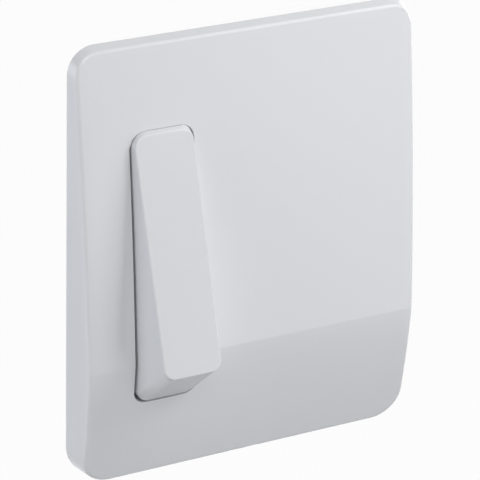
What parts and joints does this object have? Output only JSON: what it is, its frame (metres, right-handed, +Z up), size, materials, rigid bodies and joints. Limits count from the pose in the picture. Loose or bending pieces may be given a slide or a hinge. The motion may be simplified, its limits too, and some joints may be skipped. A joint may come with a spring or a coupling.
{
  "type": "urinal flush plate",
  "caption": "White moulded urinal flush plate with a wedge-shaped press lever, its wall frame and the air pump that the lever works.",
  "frame": {"origin": "the middle of the cover's back, in the wall plane", "axes": "+X to the right as the user sees the plate, +Y into the wall, +Z up"},
  "size_m": [0.13, 0.0813, 0.16],
  "materials": {
    "white_plastic": "smooth gloss",
    "grey_plastic": "satin moulded",
    "black_plastic": "satin moulded",
    "pale_plastic": "satin turned",
    "steel": "bright zinc plated",
    "brass": "turned",
    "rubber": "matte moulded"
  },
  "bodies": {
    "wall_unit": {"cover_plate": "white_plastic", "pivot_pin": "steel", "mounting_frame": "grey_plastic", "retaining_clips": "steel", "locking_screw": "steel", "locking_insert": "brass", "fixing_screws": "steel", "screw_washers": "steel", "pump_body": "black_plastic", "pump_cap": "grey_plastic", "pump_screws": "steel", "bellows": "rubber", "bellows_ring": "steel", "return_spring": "steel", "hose_nipple": "pale_plastic", "nipple_seal": "rubber", "rest_pad": "rubber", "stop_pads": "rubber"},
    "lever": {"flush_lever": "white_plastic"},
    "piston": {"plunger": "pale_plastic", "plunger_pad": "rubber"}
  },
  "joints": [
    {"name": "lever_press", "type": "hinge", "parent": "wall_unit", "child": "lever", "pos_m": [-0.0342, -0.003, 0.042], "axis": [1, 0, 0], "range_deg": [0, 7], "stiffness_Nm_per_rad": 2.5, "springref_deg": -6.88},
    {"name": "plunger_slide", "type": "slide", "parent": "wall_unit", "child": "piston", "axis": [0, 1, 0], "range_m": [0, 0.0066], "deforming": ["bellows", "return_spring"]}
  ],
  "couplings": [
    {"joint": "plunger_slide", "follows": "lever_press", "m_per_rad": 0.052}
  ]
}
